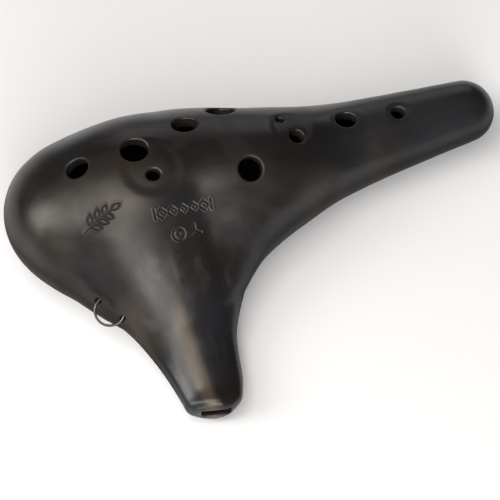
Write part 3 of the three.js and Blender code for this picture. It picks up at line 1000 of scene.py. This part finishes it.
def burnished_clay():
    """Smoke-black clay rubbed to a satin gloss, with strokes along the body and the spout."""
    n = Nodes("burnished_black_clay")
    raw_and_shade, rim, groove, dull = n.mask("raw_and_shade"), n.mask("rim"), n.mask("groove"), n.mask("dull")
    # The strokes run along X on the body and along Y on the spout.
    place = n.separated()
    on_spout = n.remap(place["Y"], -0.012, -0.034)
    wide_body = n.noise(n.stretched((9, 95, 95), (0, 0, 0.06)), 1.0, 4.0, 0.5, 0.15)
    wide_spout = n.noise(n.stretched((140, 11, 70)), 1.0, 4.0, 0.5, 0.1)
    fine_body = n.noise(n.stretched((40, 900, 900), (0, 0, 0.06)), 1.0, 3.0, 0.6)
    fine_spout = n.noise(n.stretched((1000, 45, 700)), 1.0, 3.0, 0.6)
    wide = n.blend(on_spout, wide_body, wide_spout)
    fine = n.blend(on_spout, fine_body, fine_spout)
    cloud = n.noise(n.stretched((1, 1, 1)), 26.0, 3.0, 0.5, 0.6)
    speck = n.noise(n.stretched((1, 1, 1)), 900.0, 2.0, 0.7)

    colour = burnished_colour(n, place, on_spout, wide, wide_spout, cloud)
    colour = n.mix(n.math("MULTIPLY", rim, 0.25), colour, WORN_RIM)
    # Darker in the stamped grooves.
    colour = n.mix(n.math("MULTIPLY", groove, 0.6), colour, GROOVE_DARK)
    # Inside the holes, the chamber and the windway the colour is a painted shade over the raw clay's own
    # speckled grain.
    inside = n.mix(n.remap(speck, 0.4, 0.6), INSIDE_DARK, INSIDE_PALE)
    n.link(n.mix(raw_and_shade, colour, inside), n.shader.inputs["Base Color"])

    roughness = burnished_roughness(n, on_spout, wide, fine, cloud)
    for mask, value in ((dull, 0.55), (rim, 0.42), (groove, 0.6), (raw_and_shade, 0.85)):
        roughness = n.blend(mask, roughness, value)
    n.link(roughness, n.shader.inputs["Roughness"])
    n.shader.inputs["IOR"].default_value = 1.42
    # The burnishing stone hardly reaches low on the flanks, and never goes inside.
    patch = n.noise(n.stretched((1, 1, 1), (0.7, 0.1, 0.5)), 36.0, 3.0, 0.55, 0.5)
    shine = n.blend(n.math("MAXIMUM", dull, raw_and_shade), n.remap(patch, 0.35, 0.65, 0.38, 0.62), 0.1)
    n.link(shine, n.shader.inputs["Specular IOR Level"])

    polished = n.math("SUBTRACT", 1.0, raw_and_shade)
    strokes = n.bump(n.math("MULTIPLY", fine, polished), STROKE_DEPTH, 0.32)
    facets = n.bump(n.math("MULTIPLY", wide, polished), FACET_DEPTH, 0.12, strokes)
    grain = n.bump(n.math("MULTIPLY", speck, raw_and_shade), GRAIN_DEPTH, 0.8, facets)
    n.link(grain, n.shader.inputs["Normal"])
    return n.material


RAW_DARK = (0.014, 0.0125, 0.0115)
RAW_PALE = (0.030, 0.026, 0.023)
BLADE_DRAG = (0.04, 0.033, 0.027)


def raw_clay():
    """Unburnished black clay inside the mouthpiece, smoothed with a blade."""
    n = Nodes("raw_black_clay")
    speck = n.noise(n.stretched((1, 1, 1)), 800.0, 3.0, 0.65)
    drag = n.noise(n.stretched((900, 60, 500)), 1.0, 3.0, 0.6)
    colour = n.mix(n.remap(speck, 0.38, 0.62), RAW_DARK, RAW_PALE)
    colour = n.mix(n.remap(drag, 0.5, 0.7, 0.0, 0.4), colour, BLADE_DRAG)
    n.link(colour, n.shader.inputs["Base Color"])
    n.link(n.remap(speck, 0.3, 0.7, 0.62, 0.86), n.shader.inputs["Roughness"])
    grain = n.bump(speck, 0.00012, 0.7)
    n.link(n.bump(drag, 0.00008, 0.6, grain), n.shader.inputs["Normal"])
    return n.material


STEEL_GREY = (0.105, 0.100, 0.095)
STEEL_BROWN = (0.050, 0.045, 0.040)


def dark_steel():
    """Drawn steel wire, browned a little by handling."""
    n = Nodes("dark_steel_wire")
    drawn = n.noise(n.stretched((1, 1, 1)), 1400.0, 3.0, 0.6)
    stain = n.noise(n.stretched((1, 1, 1)), 260.0, 4.0, 0.6, 0.5)
    colour = n.mix(n.remap(stain, 0.4, 0.65), STEEL_GREY, STEEL_BROWN)
    n.link(colour, n.shader.inputs["Base Color"])
    n.shader.inputs["Metallic"].default_value = 1.0
    n.link(n.remap(stain, 0.35, 0.65, 0.24, 0.42), n.shader.inputs["Roughness"])
    n.link(n.bump(drawn, 0.00002, 0.5), n.shader.inputs["Normal"])
    return n.material


# ---------------------------------------------------------------------------------- pieces


def parted(points, triangles, neck_front, side):
    """The part of a surface on one side of the neck and one side of the parting plane."""
    bm = mesh_of(points, triangles)
    cut(bm, (0, NECK_Y, 0), (0, 1, 0), neck_front)
    slope = Vector((0, -PARTING_SLOPE, 1)).normalized()
    return cut(bm, (0, 0, PARTING_Z), slope, side > 0)


def make_burnished_pieces():
    """The two shells of the chamber and the two halves of the mouthpiece."""
    clay = burnished_clay()
    body = fine_surface(body_clay, *BODY_BOX, CELL, detail_size)
    spout = fine_surface(spout_clay, *SPOUT_BOX, CELL, detail_size)
    for name, surface, field, neck_front, side in (
        ("upper_shell", body, body_clay, True, 1),
        ("lower_shell", body, body_clay, True, -1),
        ("mouthpiece_top", spout, spout_clay, False, 1),
        ("mouthpiece_base", spout, spout_clay, False, -1),
    ):
        piece = parted(*surface, neck_front, side)
        clay_object(name, piece, field, clay, "ocarina")


def make_inner_pieces():
    """The labium behind the window and the block that roofs the windway."""
    clay = raw_clay()
    blade = mesh_of(*fine_surface(labium_clay, *BLADE_BOX, BLADE_CELL))
    block = mesh_of(*fine_surface(roof_clay, *BLOCK_BOX, BLOCK_CELL))
    clay_object("labium_blade", blade, labium_clay, clay, "ocarina")
    clay_object("windway_roof", block, roof_clay, clay, "ocarina")


def wire_section(bm, turn, radius):
    """Vertices around the wire at one place on the ring, in metres."""
    across_axis = unit(np.cross(RING_AXIS, [0, 0, 1]))
    up_axis = np.cross(RING_AXIS, across_axis)
    out = math.cos(turn) * across_axis + math.sin(turn) * up_axis
    section = []
    for side in range(WIRE_SIDES):
        angle = 2 * math.pi * side / WIRE_SIDES
        place = RING_CENTRE + out * (RING_RADIUS + radius * math.cos(angle))
        place = place + RING_AXIS * radius * math.sin(angle)
        section.append(bm.verts.new(Vector(place) * MM))
    return section


def make_ring():
    """A wire bent to a circle, its two cut ends closed to a hairline."""
    gap = WIRE_END_GAP / RING_RADIUS
    bm = bmesh.new()
    sections = []
    for index in range(WIRE_STEPS + 1):
        turn = WIRE_END_TURN + gap / 2 + (2 * math.pi - gap) * index / WIRE_STEPS
        at_end = index in (0, WIRE_STEPS)
        radius = WIRE_RADIUS - (WIRE_END_TAPER if at_end else 0)
        sections.append(wire_section(bm, turn, radius))
    for a, b in zip(sections, sections[1:]):
        for side in range(WIRE_SIDES):
            after = (side + 1) % WIRE_SIDES
            bm.faces.new((a[side], a[after], b[after], b[side]))
    bm.faces.new(sections[0][::-1])
    bm.faces.new(sections[-1])
    bmesh.ops.recalc_face_normals(bm, faces=bm.faces[:])
    mesh = bpy.data.meshes.new("strap_ring")
    bm.to_mesh(mesh)
    bm.free()
    for polygon in mesh.polygons:
        polygon.use_smooth = len(polygon.vertices) == 4
    mesh.materials.append(dark_steel())
    piece = bpy.data.objects.new("strap_ring_wire", mesh)
    bpy.context.scene.collection.objects.link(piece)
    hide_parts("strap_ring")
    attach(piece, "strap_ring")


# ------------------------------------------------------------------------------------ stage

VIEW_AZIMUTH = math.radians(-16)
VIEW_ELEVATION = math.radians(62)
VIEW_DISTANCE = 0.857
VIEW_TARGET = Vector((0.0069, -0.0243, 0.020))
LENS = 168.3

WARM = (1.0, 0.95, 0.89)
WARMER = (1.0, 0.92, 0.82)
COOL = (0.86, 0.94, 1.0)
WHITE = (1.0, 1.0, 1.0)
LIGHT_DISTANCE = 1.2
LIGHT_TARGET = Vector((0, -0.01, 0.02))

# Lights: name, azimuth, elevation, size in metres, watts, colour, roll. Angles are degrees.
LIGHTS = [
    ("left_softbox", -93, 38, (0.50, 0.72), 8.0, WARM, 0),
    ("front_softbox", -7, 32, (0.50, 1.04), 12.2, WARM, 20),
    ("low_softbox", -27, 9, (0.40, 0.26), 2.2, WARM, 0),
    ("top_softbox", -46, 69, (0.82, 0.74), 11.8, WARMER, 0),
    ("gap_fill", -48, 22, (0.34, 0.60), 0.5, COOL, 0),
    ("back_card", 160, 22, (0.8, 0.6), 1.4, WHITE, 0),
]
FLOOR_COLOUR = (0.68, 0.71, 0.76, 1)
WORLD_COLOUR = (1.0, 0.96, 0.95, 1)
WORLD_STRENGTH = 0.04


def direction(azimuth, elevation):
    """Unit vector from the object towards an azimuth, seen from the front, and an elevation."""
    flat = math.cos(elevation)
    return Vector((math.sin(azimuth) * flat, -math.cos(azimuth) * flat, math.sin(elevation)))


def make_camera():
    data = bpy.data.cameras.new("camera")
    data.lens = LENS
    data.sensor_width = 36.0
    camera = bpy.data.objects.new("camera", data)
    back = direction(VIEW_AZIMUTH, VIEW_ELEVATION)
    camera.location = VIEW_TARGET + back * VIEW_DISTANCE
    camera.rotation_euler = back.to_track_quat("Z", "Y").to_euler()
    bpy.context.scene.collection.objects.link(camera)
    bpy.context.scene.camera = camera


def add_light(name, azimuth, elevation, size, watts, colour, roll):
    """A softbox that faces the object from an azimuth and an elevation."""
    data = bpy.data.lights.new(name, "AREA")
    data.shape = "RECTANGLE"
    data.size, data.size_y = size
    data.energy = watts
    data.color = colour
    light = bpy.data.objects.new(name, data)
    away = direction(math.radians(azimuth), math.radians(elevation))
    light.location = LIGHT_TARGET + away * LIGHT_DISTANCE
    spin = Quaternion((0, 0, 1), math.radians(roll))
    light.rotation_euler = (away.to_track_quat("Z", "Y") @ spin).to_euler()
    bpy.context.scene.collection.objects.link(light)


def make_floor():
    bpy.ops.mesh.primitive_plane_add(size=6, location=(0, 0, -0.0002))
    floor = bpy.context.object
    floor.name = "floor"
    n = Nodes("pale_floor")
    n.shader.inputs["Base Color"].default_value = FLOOR_COLOUR
    n.shader.inputs["Roughness"].default_value = 0.9
    floor.data.materials.append(n.material)


def make_stage():
    make_floor()
    world = bpy.data.worlds.new("studio")
    world.use_nodes = True
    background = world.node_tree.nodes["Background"]
    background.inputs["Color"].default_value = WORLD_COLOUR
    background.inputs["Strength"].default_value = WORLD_STRENGTH
    bpy.context.scene.world = world
    for light in LIGHTS:
        add_light(*light)
    bpy.context.scene.view_settings.view_transform = "Standard"


make_camera()
make_stage()
make_burnished_pieces()
make_inner_pieces()
make_ring()
